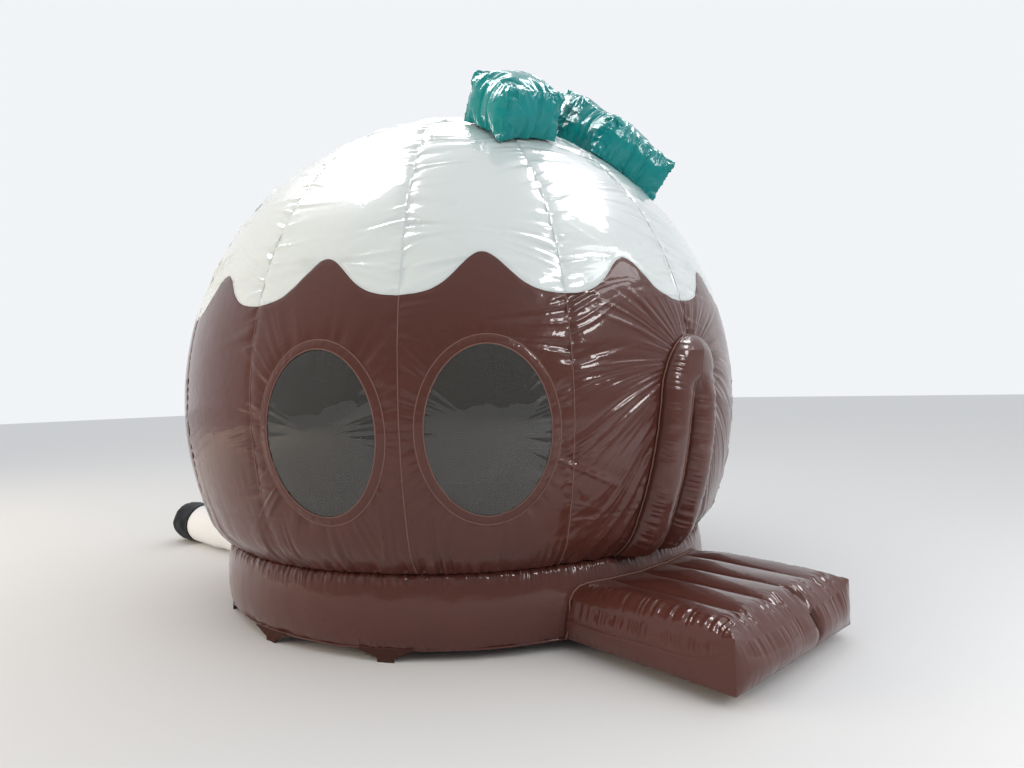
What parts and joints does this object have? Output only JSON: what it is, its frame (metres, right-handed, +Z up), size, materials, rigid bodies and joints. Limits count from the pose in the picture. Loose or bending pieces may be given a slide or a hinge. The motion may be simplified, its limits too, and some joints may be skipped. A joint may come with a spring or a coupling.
{
  "type": "inflatable bounce dome in the form of a christmas pudding",
  "caption": "Domed inflatable bouncy castle shaped like an iced pudding with holly on top, clear oval windows, a slit door and a ribbed step.",
  "frame": {"origin": "on the floor at the dome's axis, at the middle of the bed's underside", "axes": "+Z up along the dome's axis; -Y out through the door and along the step; +X on the right for someone who stands before the door and looks at it"},
  "size_m": [4.59, 6.7884, 4.3342],
  "materials": {
    "brown_pvc": "glossy vinyl-coated fabric with gathered seams",
    "white_pvc": "glossy vinyl-coated fabric with gathered seams",
    "teal_pvc": "glossy vinyl-coated fabric",
    "red_pvc": "glossy vinyl-coated fabric",
    "clear_pvc": "clear flexible sheet",
    "white_fabric": "smooth coated fabric",
    "black_fabric": "dull coated fabric"
  },
  "bodies": {
    "root": {"bed": "brown_pvc", "step": "brown_pvc", "wall_gore_1": "brown_pvc", "wall_gore_2": "brown_pvc", "wall_gore_3": "brown_pvc", "wall_gore_4": "brown_pvc", "wall_gore_5": "brown_pvc", "wall_gore_6": "brown_pvc", "wall_gore_7": "brown_pvc", "wall_gore_8": "brown_pvc", "wall_gore_9": "brown_pvc", "wall_gore_10": "brown_pvc", "wall_gore_11": "brown_pvc", "wall_gore_12": "brown_pvc", "wall_gore_13": "brown_pvc", "wall_gore_14": "brown_pvc", "icing_gore_1": "white_pvc", "icing_gore_2": "white_pvc", "icing_gore_3": "white_pvc", "icing_gore_4": "white_pvc", "icing_gore_5": "white_pvc", "icing_gore_6": "white_pvc", "icing_gore_7": "white_pvc", "icing_gore_8": "white_pvc", "icing_gore_9": "white_pvc", "icing_gore_10": "white_pvc", "icing_gore_11": "white_pvc", "icing_gore_12": "white_pvc", "icing_gore_13": "white_pvc", "icing_gore_14": "white_pvc", "crown_patch": "white_pvc", "window_pane_1": "clear_pvc", "window_pane_2": "clear_pvc", "window_pane_3": "clear_pvc", "window_pane_4": "clear_pvc", "window_welt_1": "brown_pvc", "window_welt_2": "brown_pvc", "window_welt_3": "brown_pvc", "window_welt_4": "brown_pvc", "door_lip_left": "brown_pvc", "door_lip_right": "brown_pvc", "blower_tube": "white_fabric", "blower_sleeve": "black_fabric", "anchor_tab_1": "brown_pvc", "anchor_tab_2": "brown_pvc", "anchor_tab_3": "brown_pvc", "anchor_tab_4": "brown_pvc", "anchor_tab_5": "brown_pvc", "anchor_tab_6": "brown_pvc", "anchor_tab_7": "brown_pvc", "anchor_tab_8": "brown_pvc", "anchor_tab_9": "brown_pvc", "holly_leaf_1": "teal_pvc", "holly_leaf_2": "teal_pvc", "berry_1": "red_pvc", "berry_2": "red_pvc", "berry_3": "red_pvc"}
  },
  "joints": []
}
